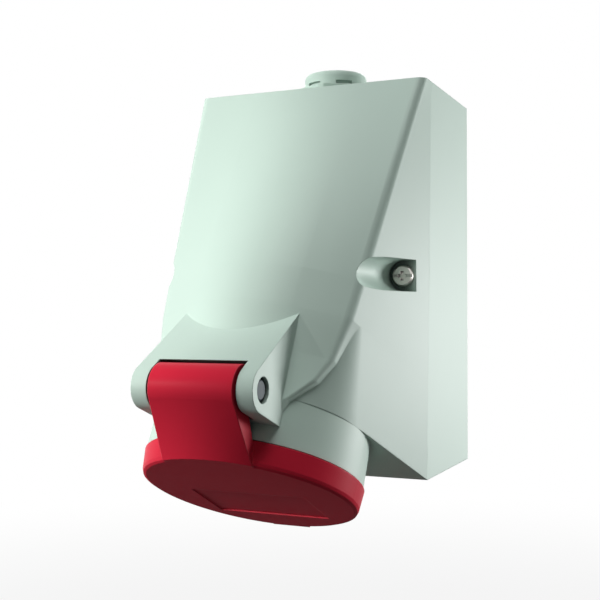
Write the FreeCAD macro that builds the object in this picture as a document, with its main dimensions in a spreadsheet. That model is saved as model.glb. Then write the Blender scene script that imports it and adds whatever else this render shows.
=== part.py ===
"""Industrial wall socket: a sloping moulded front, a tilted round collar and a sprung red lid."""
import FreeCAD, Part
import math
import os
import re
import Sketcher
from FreeCAD import Placement, Rotation, Vector

doc = FreeCAD.newDocument("wall_socket")

# Driving sizes in millimetres and degrees. Heights count from the bottom of the rear box,
# forward distances count from the wall.
SIZES = {
    "width": 113.0, "height": 179.4, "depth_low": 73.0, "depth_high": 65.1, "wall": 3.0, "rim_wall": 4.0,
    "nose": 10.3, "corner_round": 5.5, "top_round": 4.0,
    "tilt": 26.5, "lid_forward": 136.1, "lid_drop": 0.7,
    "tube_radius": 45.3, "hood_proud": 2.0, "tube_wall": 3.0, "tube_start": 10.0, "floor_thick": 5.0,
    "spigot_end": 5.3, "spigot_radius": 41.4, "spigot_wall": 2.8, "mouth_radius": 36.6,
    "section_high": 84.0, "section_mid": 66.0, "section_low": 47.5, "section_neck": 37.4,
    "section_fade": 27.3,
    "section_end": 14.0, "hood_arc": 28.0, "edge_reach": 30.5, "edge_half": 43.3, "shoulder_half": 27.0,
    "low_turn": 51.9, "neck_turn": 45.7, "fade_turn": 34.4, "end_turn": 30.0,
    "low_rise": 3.1, "neck_rise": 1.9, "fade_rise": 0.8,
    "hinge_forward": 176.5, "hinge_height": 45.9, "ear_radius": 8.6, "ear_half": 25.5, "gap_half": 18.8,
    "pocket_clear": 1.2, "block_slope": 28.9, "ear_slope": 20.8, "strap_clear": 0.7,
    "recess_height": 13.9, "recess_centre": 90.5, "recess_depth_x": 13.9, "shelf_forward": 81.3,
    "screw_inset": 7.9, "screw_radius": 2.5, "head_radius": 4.6, "head_height": 3.2, "screw_play": 0.25,
    "boss_wall": 3.0, "insert_radius": 3.6, "insert_length": 13.0, "thread_play": 0.05,
    "fix_across": 80.0, "fix_up": 140.0, "fix_radius": 2.75, "fix_pad": 7.0, "fix_pad_height": 3.0,
    "seal_width": 1.8, "seal_depth": 2.4, "seal_inset": 1.1,
    "lid_radius": 45.0, "lid_rim_radius": 45.9, "lid_rim": 9.6, "lid_plate": 2.6, "lid_bore": 43.3,
    "lid_edge": 1.8, "field_depth": 0.5,
    "barrel_radius": 9.4, "barrel_half": 17.6, "strap_foot_half": 19.1, "knuckle": 5.5,
    "pin_radius": 2.5, "pin_half": 24.6, "pin_head_radius": 4.2, "pin_head": 2.0, "pin_seat_radius": 4.95,
    "lid_seal_inner": 36.4, "lid_seal_outer": 42.2,
    "sleeve_outer": 36.3, "sleeve_inner": 33.0, "sleeve_start": 6.0, "carrier_floor": 46.0,
    "carrier_floor_thick": 4.0,
    "shoulder_radius": 37.2, "shoulder_thick": 1.6, "ring_radius": 42.0, "ring_thick": 3.2,
    "island_radius": 26.6, "island_start": 9.0, "guide_play": 0.1,
    "key_width": 9.0, "key_depth": 1.8,
    "pitch_radius": 17.0, "contact_bore": 3.05, "contact_outer": 4.7, "earth_bore": 4.05,
    "earth_outer": 5.7,
    "contact_start": 12.0, "contact_depth": 30.0, "contact_end": 64.0, "contact_play": 0.05,
    "wire_bore": 2.8, "wire_depth": 15.0,
    "block_radius": 31.0, "block_cover": 2.0, "clamp_radius": 2.0, "clamp_rise": 7.0, "clamp_play": 0.6,
    "ring_screw_pitch": 39.3, "ring_screw_radius": 1.75, "ring_head_radius": 2.6, "ring_head": 2.2,
    "gland_forward": 40.0, "thread_radius": 12.5, "gland_hole": 12.6, "neck_bore": 9.6, "neck_length": 13.0,
    "hex_across": 36.0, "hex_corner": 20.0, "hex_height": 4.5, "gasket_thick": 1.2, "gland_top_neck": 12.0,
    "nut_radius": 15.35, "nut_height": 7.2, "nut_gap": 0.4, "nut_dome": 2.6, "nut_bore": 9.4,
    "nut_wall_top": 2.4,
    "nut_notch": 3.9, "nut_notch_high": 1.9,
    "cable_radius": 7.5, "locknut_across": 32.0, "locknut_thick": 4.0,
    "spring_wire": 0.8, "spring_radius": 4.6, "spring_pitch": 2.4, "spring_turns": 4.0, "spring_leg": 7.4,
}

sheet = doc.addObject("Spreadsheet::Sheet", "Sizes")
for row, (name, size) in enumerate(SIZES.items(), start=1):
    sheet.set("A%d" % row, name)
    sheet.set("B%d" % row, str(size))
    sheet.setAlias("B%d" % row, name)
doc.recompute()


def formula(text):
    """Writes a size rule with the sheet's name in front of every size in it."""
    return re.sub(r"[a-z_]+", lambda m: "Sizes." + m[0] if m[0] in SIZES else m[0], str(text))


def number(text):
    """Works out a size rule from the sheet."""
    found = sheet.evalExpression(formula(text))
    return float(found.Value) if hasattr(found, "Value") else float(found)


def bind(thing, field, rule):
    """Ties one property of an object to a size rule."""
    thing.setExpression(field, formula(rule))


def place(thing, x="0", y="0", z="0", axis=None, angle="0"):
    """Puts an object at a point given by size rules, turned about an axis."""
    turn = Rotation(axis, number(angle)) if axis else Rotation()
    thing.Placement = Placement(Vector(number(x), number(y), number(z)), turn)
    for field, rule in zip("xyz", (x, y, z)):
        bind(thing, "Placement.Base." + field, rule)
    if axis:
        bind(thing, "Placement.Rotation.Angle", angle)


def outline(name, plane, points, offset="0"):
    """Draws a closed outline of straight lines on a main plane, each corner tied to size rules."""
    drawing = doc.addObject("Sketcher::SketchObject", name)
    turns = {"XY": Rotation(), "XZ": Rotation(Vector(1, 0, 0), 90), "YZ": Rotation(Vector(1, 1, 1), 120)}
    base = {"XY": ("0", "0", offset), "XZ": ("0", "-(%s)" % offset, "0"), "YZ": (offset, "0", "0")}[plane]
    drawing.Placement = Placement(Vector(*[number(v) for v in base]), turns[plane])
    for field, rule in zip("xyz", base):
        bind(drawing, "Placement.Base." + field, rule)
    fill_outline(drawing, points)
    return drawing


def fill_outline(drawing, points):
    """Adds the lines of a closed outline and ties every corner to its size rules."""
    spots = [Vector(number(a), number(b), 0) for a, b in points]
    count = len(spots)
    for i in range(count):
        drawing.addGeometry(Part.LineSegment(spots[i], spots[(i + 1) % count]), False)
    for i in range(count):
        drawing.addConstraint(Sketcher.Constraint("Coincident", i, 2, (i + 1) % count, 1))
    for i, (a, b) in enumerate(points):
        for kind, rule, size in (("DistanceX", a, spots[i].x), ("DistanceY", b, spots[i].y)):
            index = drawing.addConstraint(Sketcher.Constraint(kind, -1, 1, i, 1, size))
            drawing.setExpression("Constraints[%d]" % index, formula(rule))


def prism(name, plane, points, low, high):
    """Extrudes a closed outline between two distances from its plane, forward on the upright one."""
    drawing = outline(name + "_outline", plane, points, low)
    solid = doc.addObject("Part::Extrusion", name)
    solid.Base = drawing
    solid.DirMode = "Normal"
    solid.Solid = True
    solid.LengthFwd = number("(%s) - (%s)" % (high, low))
    bind(solid, "LengthFwd", "(%s) - (%s)" % (high, low))
    return solid


def block(name, x, y, z):
    """Makes a rectangular prism from three pairs of size rules."""
    solid = doc.addObject("Part::Box", name)
    for field, (low, high) in zip(("Length", "Width", "Height"), (x, y, z)):
        setattr(solid, field, number("(%s) - (%s)" % (high, low)))
        bind(solid, field, "(%s) - (%s)" % (high, low))
    place(solid, x[0], y[0], z[0])
    return solid


def mirrored(name, solid):
    """Copies a solid to the other side of the middle plane."""
    copy = doc.addObject("Part::Mirroring", name)
    copy.Source = solid
    copy.Normal = Vector(1, 0, 0)
    copy.Base = Vector(0, 0, 0)
    return copy


def turned_round(name, solid, angle, x="0", y="0"):
    """Copies a solid turned about the upright axis."""
    copy = doc.addObject("Part::Compound", name)
    copy.Links = [solid]
    place(copy, x, y, "0", Vector(0, 0, 1), angle)
    return copy


def rod(name, radius, length, x="0", y="0", z="0", axis=None, angle="0"):
    """Makes a plain cylinder."""
    solid = doc.addObject("Part::Cylinder", name)
    solid.Radius = number(radius)
    solid.Height = number(length)
    bind(solid, "Radius", radius)
    bind(solid, "Height", length)
    place(solid, x, y, z, axis, angle)
    return solid


def cross_rod(name, radius, half, y, z):
    """Makes a cylinder across the part, centred on its middle plane."""
    return rod(name, radius, "2 * (%s)" % half, "-(%s)" % half, y, z, Vector(0, 1, 0), "90")


def turned(name, points):
    """Turns a closed outline of radius and height about the upright axis."""
    drawing = outline(name + "_outline", "XZ", points)
    solid = doc.addObject("Part::Revolution", name)
    solid.Source = drawing
    solid.Axis = Vector(0, 0, 1)
    solid.Base = Vector(0, 0, 0)
    solid.Angle = 360
    solid.Solid = True
    return solid


def fuse(name, solids):
    """Joins solids."""
    joined = doc.addObject("Part::MultiFuse", name)
    joined.Shapes = solids
    joined.Refine = True
    return joined


def group(name, solids):
    """Keeps separate solids together as one piece of the list."""
    kept = doc.addObject("Part::Compound", name)
    kept.Links = solids
    return kept


def cut(name, solid, tools):
    """Takes the tools away from a solid."""
    tool = tools[0] if len(tools) == 1 else fuse(name + "_tools", tools)
    left = doc.addObject("Part::Cut", name)
    left.Base = solid
    left.Tool = tool
    left.Refine = True
    return left


def common(name, solids):
    """Keeps what all the solids share."""
    shared = doc.addObject("Part::MultiCommon", name)
    shared.Shapes = solids
    shared.Refine = True
    return shared


def at_box(solid):
    """Moves a piece drawn from the box's bottom so that the wall fixings' centre is the origin."""
    place(solid, "0", "0", "-height / 2")
    return solid


def at_collar(solid):
    """Moves a piece drawn about the collar's axis, from the lid's outer face, to its tilted place."""
    place(solid, "0", "-lid_forward", "-lid_drop - height / 2", Vector(-1, 0, 0), "tilt")
    return solid


def in_box_frame(solid):
    """Moves a piece drawn about the collar's axis into the frame that starts at the box's bottom."""
    place(solid, "0", "-lid_forward", "-lid_drop", Vector(-1, 0, 0), "tilt")
    return solid


def up_collar(height):
    """Finds the point of the collar's axis at a height above the lid's outer face."""
    tilt = math.radians(number("tilt"))
    return Vector(0, height * math.sin(tilt) - number("lid_forward"),
        height * math.cos(tilt) - number("lid_drop"))


def parting_reach(height):
    """Finds how far behind the collar's axis a plane square to it meets the joint with the rear box."""
    tilt = math.radians(number("tilt"))
    lean = (number("depth_low") - number("depth_high")) / number("height")
    spot = up_collar(height)
    return (spot.y + number("depth_low") - lean * spot.z) / (math.cos(tilt) + lean * math.sin(tilt))


def along_collar(spot):
    """Splits a point into its height along the collar and its distance in front of the collar's axis."""
    tilt = math.radians(number("tilt"))
    away = spot - up_collar(0)
    return (away.y * math.sin(tilt) + away.z * math.cos(tilt),
        away.z * math.sin(tilt) - away.y * math.cos(tilt))


def round_corner(before, corner, after, radius):
    """Finds the arc that rounds a corner: its start, middle and end."""
    into = (before - corner).normalize()
    out = (after - corner).normalize()
    half = into.getAngle(out) / 2
    reach = radius / math.tan(half)
    middle_way = (into + out).normalize()
    centre = corner + middle_way * (radius / math.sin(half))
    return corner + into * reach, centre - middle_way * radius, corner + out * reach


def section(name, tilt, origin, back, corner, radius, shoulder, front):
    """Draws one cross-section of the cover: flat sides, rounded front corners and an arched front."""
    drawing = doc.addObject("Sketcher::SketchObject", name)
    drawing.Placement = Placement(origin, Rotation(Vector(1, 0, 0), 180 - tilt))
    right = [Vector(back[0], back[1], 0), Vector(corner[0], corner[1], 0),
        Vector(shoulder[0], shoulder[1], 0)]
    left = [Vector(-p.x, p.y, 0) for p in reversed(right)]
    start, middle, end = round_corner(right[0], right[1], right[2], radius)
    l_start, l_middle, l_end = round_corner(left[0], left[1], left[2], radius)
    drawing.addGeometry(Part.LineSegment(right[0], start), False)
    drawing.addGeometry(Part.Arc(start, middle, end), False)
    drawing.addGeometry(Part.LineSegment(end, right[2]), False)
    drawing.addGeometry(Part.Arc(right[2], Vector(0, front, 0), left[0]), False)
    drawing.addGeometry(Part.LineSegment(left[0], l_start), False)
    drawing.addGeometry(Part.Arc(l_start, l_middle, l_end), False)
    drawing.addGeometry(Part.LineSegment(l_end, left[2]), False)
    drawing.addGeometry(Part.LineSegment(left[2], right[0]), False)
    return drawing


def skin(name, sections):
    """Stretches a ruled solid over cross-sections."""
    solid = doc.addObject("Part::Loft", name)
    solid.Sections = sections
    solid.Solid = True
    solid.Ruled = True
    return solid


def hood(name, inset):
    """Makes the front of the cover: flat at the top edge, arched where it runs onto the collar."""
    tilt = number("tilt")
    arc = math.radians(number("hood_arc"))
    proud = number("tube_radius") + number("hood_proud") - inset
    top = number("height")
    nose = number("depth_high") + number("nose")
    corner = number("corner_round") - inset * 0.6
    high, mid = number("section_high"), number("section_mid")
    end = number("section_end")
    if inset:
        end = number("tube_start") + number("floor_thick")
    reach = number("edge_reach")
    side = number("width") / 2 - inset
    open_back = 1.0 if inset else 0.0
    shoulder = proud * math.sin(arc)
    flank = proud * math.cos(arc)
    inner = proud - number("hood_proud") - 0.4
    tip = Vector(number("width") / 2, -nose, top)
    foot = up_collar(mid) + Vector(number("edge_half"), -reach * math.cos(math.radians(tilt)),
                                   reach * math.sin(math.radians(tilt)))
    share = (high - along_collar(tip)[0]) / (along_collar(foot)[0] - along_collar(tip)[0])
    bend = tip + (foot - tip) * share
    sections = [
        section(name + "_top", 0, Vector(0, 0, top),
                (side, number("depth_high") - open_back), (side, nose - inset * 1.2),
                number("top_round") - inset * 0.6, (number("shoulder_half"), nose - inset * 1.2),
                nose - inset * 1.2 + 0.02),
        section(name + "_high", tilt, up_collar(high),
                (side, parting_reach(high) - open_back), (bend.x - inset, along_collar(bend)[1] - inset),
                corner, (shoulder + 0.8, flank - 1.2), proud - 1.9),
        section(name + "_mid", tilt, up_collar(mid),
                (side, parting_reach(mid) - open_back), (foot.x - inset, reach - inset),
                corner, (shoulder, flank), proud),
    ]
    for tag, round_in in (("low", 1.5), ("neck", 2.5), ("fade", 3.5)):
        level, way = number("section_" + tag), math.radians(number(tag + "_turn"))
        ridge = proud + number(tag + "_rise")
        sections.append(section(
            name + "_" + tag, tilt, up_collar(level), (ridge * math.sin(way) - 1.0, 5.0),
            (ridge * math.sin(way), ridge * math.cos(way)), corner - round_in,
            (proud * math.sin(arc), proud * math.cos(arc)), proud))
    way = math.radians(number("end_turn"))
    sections.append(section(
        name + "_end", tilt, up_collar(end), (inner * math.sin(way) - 1.0, 5.0),
        (inner * math.sin(way), inner * math.cos(way) - 1.0), 1.0,
        (inner * math.sin(arc) - 2.0, inner * math.cos(arc)), inner))
    return skin(name, sections)


def flank(name, inset):
    """Makes the sides of the cover, from the rear box forward and round onto the collar."""
    tilt = number("tilt")
    radius = number("tube_radius") - inset
    side = number("width") / 2 - inset
    open_back = 1.0 if inset else 0.0
    slope = math.radians(tilt)
    under = (number("lid_forward") - number("depth_low")) * math.sin(slope)
    under += number("lid_drop") * math.cos(slope)
    under += inset
    mid = number("section_mid")
    back = parting_reach(under)
    lean_in = math.acos(radius / math.hypot(side, back)) - math.atan2(-back, side)
    side_touch = Vector(radius * math.cos(lean_in), radius * math.sin(lean_in), 0)
    front_turn = math.radians(26.2)
    front_touch = Vector(radius * math.sin(front_turn), radius * math.cos(front_turn), 0)
    # The corner is where the side's line and the front's tangent meet.
    side_way = Vector(-math.sin(lean_in), math.cos(lean_in), 0)
    front_way = Vector(math.cos(front_turn), -math.sin(front_turn), 0)
    gap = front_touch - side_touch
    spread = side_way.x * front_way.y - side_way.y * front_way.x
    reach = (gap.x * front_way.y - gap.y * front_way.x) / spread
    meet = side_touch + side_way * reach
    sections = [
        section(name + "_upper", tilt, up_collar(mid),
                (side, parting_reach(mid) - open_back),
                (number("edge_half") - inset, number("edge_reach") - inset),
                18.0, (front_touch.x, front_touch.y), radius),
        section(name + "_lower", tilt, up_collar(under),
                (side, back - open_back), (meet.x, meet.y), radius - 1.5,
                (front_touch.x, front_touch.y), radius),
    ]
    return skin(name, sections)


LEAN = "atan((depth_low - depth_high) / height)"
HINGE_Y = "-hinge_forward"
# The hinge seen from the collar's own frame: its distance in front of the collar's axis and its height.
HINGE_OUT = "((hinge_forward - lid_forward) * cos(tilt) + (hinge_height + lid_drop) * sin(tilt))"
HINGE_UP = "((hinge_height + lid_drop) * cos(tilt) - (hinge_forward - lid_forward) * sin(tilt))"


def rear_solid(name, side, back, low, high):
    """Makes a box-shaped solid between the wall and the slanted joint."""
    lean = "(depth_low - depth_high) / height"
    return prism(name, "YZ", [
        ("-(%s)" % back, low), ("-(%s)" % back, high),
        ("-depth_low + (%s) * %s" % (high, lean), high), ("-depth_low + (%s) * %s" % (low, lean), low),
    ], "-(%s)" % side, side)


# Rear box, screwed to the wall
rear_outer = rear_solid("rear_outer", "width / 2", "0", "0", "height")
rear_hollow = prism("rear_hollow", "YZ", [
    ("-wall", "rim_wall"), ("-wall", "height - rim_wall"),
    ("-depth_low - 5", "height - rim_wall"), ("-depth_low - 5", "rim_wall")],
    "-width / 2 + rim_wall", "width / 2 - rim_wall")
rear_shell = cut("rear_shell", rear_outer, [rear_hollow])
SCREW_X = "width / 2 - screw_inset"
FORWARD = Vector(1, 0, 0)
pillar = rod("pillar", "insert_radius + 2.7", "depth_low + 5", SCREW_X, "-wall / 2", "recess_centre",
    FORWARD, "90")
pillars = [pillar, mirrored("pillar_left", pillar)]
pads = []
for tag, x in (("right", "fix_across / 2"), ("left", "-fix_across / 2")):
    for end, z in (("high", "height / 2 + fix_up / 2"), ("low", "height / 2 - fix_up / 2")):
        pads.append(rod("pad_%s_%s" % (tag, end), "fix_pad", "fix_pad_height + wall / 2", x, "-wall / 2", z,
            FORWARD, "90"))
pillar_room = rear_solid("pillar_room", "width / 2 - 1", "wall / 2", "1", "height - 1")
rear_inside = common("rear_inside", [fuse("rear_posts", pillars + pads), pillar_room])
fix_holes = []
for tag, x in (("right", "fix_across / 2"), ("left", "-fix_across / 2")):
    for end, z in (("high", "height / 2 + fix_up / 2"), ("low", "height / 2 - fix_up / 2")):
        fix_holes.append(rod("fix_%s_%s" % (tag, end), "fix_radius", "20", x, "5", z, FORWARD, "90"))
INSERT_TOP = "(depth_low - (depth_low - depth_high) * recess_centre / height - 0.4)"
insert_hole = rod("insert_hole", "insert_radius", "insert_length + 8", SCREW_X,
                  "-%s + insert_length" % INSERT_TOP, "recess_centre", FORWARD, "90")
shank_hole = rod("shank_hole", "screw_radius + screw_play", "40", SCREW_X,
                 "-%s + insert_length + 12" % INSERT_TOP, "recess_centre", FORWARD, "90")
gland_hole = rod("gland_way", "gland_hole", "20", "0", "-gland_forward", "height - 12")


def seal_ring(name, outer, width, depth):
    """Makes a flat rectangular ring behind the slanted joint."""
    level = "height / cos(%s)" % LEAN
    rims = []
    for tag, edge in (("out", outer), ("in", "%s + %s" % (outer, width))):
        rims.append(prism("%s_%s" % (name, tag), "XZ", [
            ("-width / 2 + (%s)" % edge, "%s" % edge), ("width / 2 - (%s)" % edge, "%s" % edge),
            ("width / 2 - (%s)" % edge, "%s - (%s)" % (level, edge)),
            ("-width / 2 + (%s)" % edge, "%s - (%s)" % (level, edge))], "-(%s)" % depth, "0.0"))
    ring = cut(name, rims[0], [rims[1]])
    place(ring, "0", "-depth_low", "0", Vector(-1, 0, 0), LEAN)
    return ring


groove = seal_ring("groove", "seal_inset", "seal_width", "seal_depth")
rear_housing = cut("rear_housing", fuse("rear_whole", [rear_shell, rear_inside]),
                   fix_holes + [insert_hole, mirrored("insert_hole_left", insert_hole), shank_hole,
                                mirrored("shank_hole_left", shank_hole), gland_hole, groove])

# Moulded front cover
hood_outer = hood("hood_outer", 0.0)
flank_outer = flank("flank_outer", 0.0)
front_room = prism("front_room", "YZ", [
    ("-depth_low - 40 * (depth_low - depth_high) / height", "-40"), ("-depth_high", "height"),
    ("-250", "height"),
    ("-250", "-40")], "-width", "width")
collar_tube = in_box_frame(turned("collar_tube", [
    ("mouth_radius", "tube_start"), ("tube_radius", "tube_start"), ("tube_radius", "tube_start + 30"),
    ("mouth_radius", "tube_start + 30")]))
collar_outer = common("collar_outer", [collar_tube, front_room])
spigot = in_box_frame(turned("spigot", [
    ("spigot_radius - spigot_wall", "spigot_end"), ("spigot_radius", "spigot_end"),
    ("spigot_radius", "tube_start + 1"), ("spigot_radius - spigot_wall", "tube_start + 1")]))
EAR_TOP = ("%s - ear_radius * sin(block_slope)" % HINGE_Y, "hinge_height + ear_radius * cos(block_slope)")
EAR_LOW = ("%s - ear_radius * sin(ear_slope)" % HINGE_Y, "hinge_height - ear_radius * cos(ear_slope)")
hinge_block = prism("hinge_block", "YZ", [
    EAR_TOP, (EAR_TOP[0] + " + 70 * cos(block_slope)", EAR_TOP[1] + " + 70 * sin(block_slope)"),
    (EAR_LOW[0] + " + 42 * cos(ear_slope)", EAR_LOW[1] + " - 42 * sin(ear_slope)"), EAR_LOW],
    "-ear_half", "ear_half")
ears = cross_rod("ears", "ear_radius", "ear_half", HINGE_Y, "hinge_height")
cover_outer = fuse("cover_outer", [hood_outer, flank_outer, collar_outer, spigot, hinge_block, ears])

BOSS_IN = "width / 2 - recess_depth_x - boss_wall"
BOSS_HALF = "recess_height / 2 + boss_wall"
boss_box = prism("boss_box", "XZ", [
    (BOSS_IN + " + " + BOSS_HALF, "recess_centre - (%s)" % BOSS_HALF),
    ("width / 2 + 5", "recess_centre - (%s)" % BOSS_HALF),
    ("width / 2 + 5", "recess_centre + (%s)" % BOSS_HALF),
    (BOSS_IN + " + " + BOSS_HALF, "recess_centre + (%s)" % BOSS_HALF)],
    "depth_high - 5", "150")
boss_round = rod("boss_round", BOSS_HALF, "155 - depth_high", BOSS_IN + " + " + BOSS_HALF,
    "-depth_high + 5",
                 "recess_centre", FORWARD, "90")
boss = fuse("boss", [boss_box, boss_round])
hollow_limit = prism("hollow_limit", "YZ", [
    ("-depth_high + 5", "-20"), ("-depth_high + 5", "height - wall"), ("-220", "height - wall"),
    ("-220", "-20")],
    "-width / 2 - 5", "width / 2 + 5")
cover_inner = fuse("cover_inner", [hood("hood_inner", number("wall")), flank("flank_inner", number("wall"))])
cover_hollow = cut("cover_hollow", common("cover_room", [cover_inner, hollow_limit]),
                   [boss, mirrored("boss_left", boss)])
tube_bore = in_box_frame(turned("tube_bore", [
    ("0", "0"), ("mouth_radius", "0"), ("mouth_radius", "tube_start + floor_thick"),
    ("tube_radius - tube_wall", "tube_start + floor_thick"), ("tube_radius - tube_wall", "tube_start + 35"),
    ("0", "tube_start + 35")]))
channel_box = prism("channel_box", "XZ", [
    ("width / 2 - recess_depth_x + recess_height / 2", "recess_centre - recess_height / 2"),
    ("width / 2 + 5", "recess_centre - recess_height / 2"),
    ("width / 2 + 5", "recess_centre + recess_height / 2"),
    ("width / 2 - recess_depth_x + recess_height / 2", "recess_centre + recess_height / 2")],
    "shelf_forward", "160")
channel_round = rod("channel_round", "recess_height / 2", "160 - shelf_forward",
                    "width / 2 - recess_depth_x + recess_height / 2", "-shelf_forward", "recess_centre",
                    FORWARD, "90")
channel_hole = rod("channel_hole", "screw_radius + screw_play", "60", SCREW_X, "-depth_high + 10",
                   "recess_centre", FORWARD, "90")
channel = fuse("channel", [channel_box, channel_round, channel_hole])
pocket = cross_rod("pocket", "barrel_radius + pocket_clear", "gap_half", HINGE_Y, "hinge_height")
strap_way = in_box_frame(prism("strap_way", "YZ", [
    ("-tube_radius - 1", "-20"), ("-tube_radius - 1", HINGE_UP), ("-110", HINGE_UP), ("-110", "-20")],
    "-gap_half", "gap_half"))
pin_way = cross_rod("pin_way", "pin_radius", "ear_half + 2", HINGE_Y, "hinge_height")
pin_seat = rod("pin_seat", "pin_seat_radius", "10", "pin_half - pin_head", HINGE_Y, "hinge_height",
    Vector(0, 1, 0), "90")
ring_holes = []
for i in range(4):
    ring_holes.append(rod("floor_hole_%d" % i, "ring_screw_radius", "floor_thick - 1.2",
                            "ring_screw_pitch * cos(%d)" % (45 + 90 * i),
                            "ring_screw_pitch * sin(%d)" % (45 + 90 * i),
                            "tube_start + 1.2"))
floor_holes = in_box_frame(fuse("floor_holes", ring_holes))
front_cover = cut("front_cover", cover_outer, [
    cover_hollow, tube_bore, channel, mirrored("channel_left", channel), pocket, strap_way, pin_way,
    pin_seat,
    mirrored("pin_seat_left", pin_seat), floor_holes])


# Seal in the groove of the rear box
housing_seal = seal_ring("housing_seal", "seal_inset + 0.05", "seal_width - 0.1", "seal_depth")

# Cover screws and the brass inserts that they turn into
SHANK = "(shelf_forward - %s + insert_length - 1.5)" % INSERT_TOP
screw_body = turned("screw_body", [
    ("0", "-" + SHANK), ("screw_radius - 0.6", "-" + SHANK), ("screw_radius", "-%s + 0.8" % SHANK),
    ("screw_radius", "0"), ("head_radius", "0"), ("head_radius", "head_height - 0.5"),
    ("head_radius - 0.5", "head_height"), ("0", "head_height")])
screw_slot = block("screw_slot", ("-6", "6"), ("-0.5", "0.5"), ("head_height - 1.0", "head_height + 1"))
cross_a = block("cross_a", ("-2.1", "2.1"), ("-0.75", "0.75"), ("head_height - 2.0", "head_height + 1"))
cross_b = block("cross_b", ("-0.75", "0.75"), ("-2.1", "2.1"), ("head_height - 2.0", "head_height + 1"))
cover_screw = cut("cover_screw", screw_body, [screw_slot, cross_a, cross_b])
place(cover_screw, SCREW_X, "-shelf_forward", "recess_centre", FORWARD, "90")
cover_screws = group("cover_screws", [cover_screw, mirrored("cover_screw_left", cover_screw)])
insert = turned("insert", [
    ("screw_radius + thread_play", "0"), ("insert_radius", "0"), ("insert_radius", "insert_length"),
    ("screw_radius + thread_play", "insert_length")])
place(insert, SCREW_X, "-%s + insert_length" % INSERT_TOP, "recess_centre", FORWARD, "90")
screw_inserts = group("screw_inserts", [insert, mirrored("insert_left", insert)])

# Plug guide: the sleeve that the plug's shroud slides in, with its bottom, seen from the collar's frame
RING_SEAT = "(tube_start + floor_thick)"
RING_TOP = "(tube_start + floor_thick + ring_thick)"
GUIDE_END = "(carrier_floor + carrier_floor_thick)"
guide_body = turned("guide_body", [
    ("sleeve_inner", "sleeve_start"), ("sleeve_outer", "sleeve_start"), ("sleeve_outer", RING_SEAT),
    ("shoulder_radius", RING_SEAT), ("shoulder_radius", RING_SEAT + " + shoulder_thick"),
    ("sleeve_outer", RING_SEAT + " + shoulder_thick"), ("sleeve_outer", GUIDE_END),
    ("island_radius + guide_play", GUIDE_END), ("island_radius + guide_play", "carrier_floor"),
    ("sleeve_inner", "carrier_floor")])
ring_body = turned("ring_body", [
    ("shoulder_radius + guide_play", RING_SEAT), ("ring_radius", RING_SEAT), ("ring_radius", RING_TOP),
    ("sleeve_outer + guide_play", RING_TOP), ("sleeve_outer + guide_play", RING_SEAT + " + shoulder_thick"),
    ("shoulder_radius + guide_play", RING_SEAT + " + shoulder_thick")])

# Contact carrier: the island that the plug's shroud goes round, with a way for each contact
carrier_body = turned("carrier_body", [
    ("0", "island_start"), ("island_radius", "island_start"), ("island_radius", GUIDE_END),
    ("0", GUIDE_END)])
CLAMP = "(%s + clamp_rise)" % GUIDE_END
BLOCK_END = "(contact_end + block_cover)"
POLES = (("contact_pe", 90, "earth_bore", "earth_outer"),
         ("contact_l1", 162, "contact_bore", "contact_outer"),
         ("contact_l2", 234, "contact_bore", "contact_outer"),
         ("contact_l3", 306, "contact_bore", "contact_outer"),
         ("contact_n", 18, "contact_bore", "contact_outer"))


def pole_x(angle):
    """Gives the size rule for a pole's place across the collar."""
    return "pitch_radius * cos(%d)" % angle


def pole_y(angle):
    """Gives the size rule for a pole's place toward the wall."""
    return "pitch_radius * sin(%d)" % angle


carrier_cuts = []
block_cuts = []
contacts = {}
clamp_screws = []
for name, angle, bore, outer in POLES:
    x, y = pole_x(angle), pole_y(angle)
    carrier_cuts.append(rod(name + "_seat", outer + " + contact_play", "60", x, y, "0"))
    block_cuts.append(rod(name + "_way", outer + " + contact_play", "60", x, y, "contact_start"))
    block_cuts.append(rod(name + "_clamp_way", "clamp_radius + clamp_play", "20",
                          "(pitch_radius + %s - 1) * cos(%d)" % (outer, angle),
                          "(pitch_radius + %s - 1) * sin(%d)" % (outer, angle), CLAMP,
                          Vector(-math.sin(math.radians(angle)), math.cos(math.radians(angle)), 0), "90"))
    pole = turned(name + "_body", [
        ("%s + 0.5" % bore, "contact_start"), (outer, "contact_start"),
        (outer, "contact_end"), ("wire_bore", "contact_end"), ("wire_bore", "contact_end - wire_depth"),
        ("0", "contact_end - wire_depth"), ("0", "contact_start + contact_depth"),
        (bore, "contact_start + contact_depth"), (bore, "contact_start + 0.5")])
    thread = rod(name + "_thread", "clamp_radius + thread_play", "%s + 2" % outer, "0", "0", CLAMP,
                 Vector(0, 1, 0), "90")
    piece = cut(name + "_piece", pole, [thread])
    spun = turned_round(name + "_spun", piece, str(angle), x, y)
    contacts[name] = group(name, [spun])
    grub = turned(name + "_grub", [
        ("0", "wire_bore - 1.2"), ("clamp_radius", "wire_bore - 1.2"), ("clamp_radius", "%s + 3" % outer),
        ("0", "%s + 3" % outer)])
    notch = block(name + "_notch", ("-3", "3"), ("-0.4", "0.4"), ("%s + 2.2" % outer, "%s + 4" % outer))
    screw = cut(name + "_screw", grub, [notch])
    place(screw, "0", "0", CLAMP, Vector(0, 1, 0), "90")
    clamp_screws.append(turned_round(name + "_screw_spun", screw, str(angle), x, y))
ring_ways = []
ring_screws = []
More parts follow.
